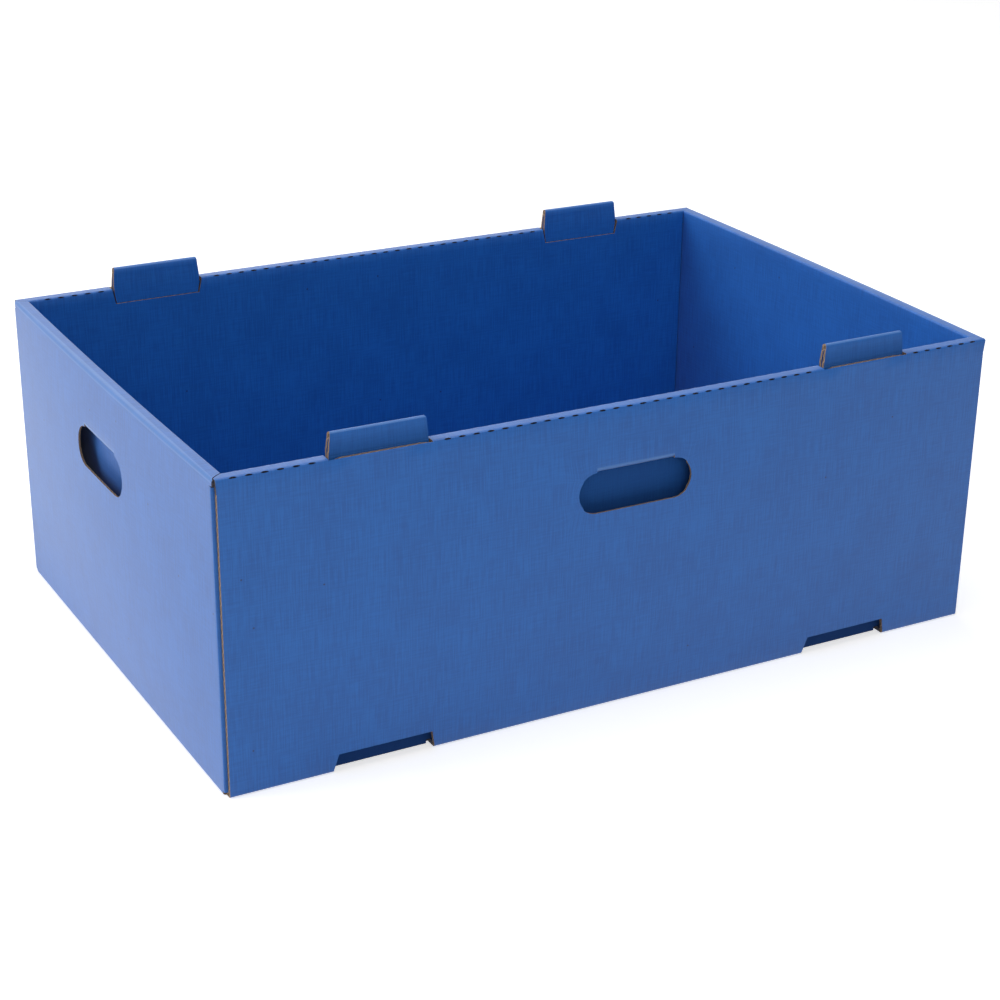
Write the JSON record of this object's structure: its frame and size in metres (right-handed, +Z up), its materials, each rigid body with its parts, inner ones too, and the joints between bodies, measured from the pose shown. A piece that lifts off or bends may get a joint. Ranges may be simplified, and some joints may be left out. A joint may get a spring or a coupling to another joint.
{
  "type": "stacking box",
  "caption": "Open corrugated-board tray folded from one blank, with double walls, hand holes, stacking tabs on the rim and foot notches that take the tabs of the box below.",
  "frame": {"origin": "centre of the underside, on the surface that the box stands on", "axes": "+X along the length, +Y along the width towards the rear wall, +Z up"},
  "size_m": [0.6, 0.4, 0.238],
  "materials": {
    "blue_board": "matt blue lined corrugated board with raw brown cut edges"
  },
  "bodies": {
    "root": {"folded_tray": "blue_board"}
  },
  "joints": []
}
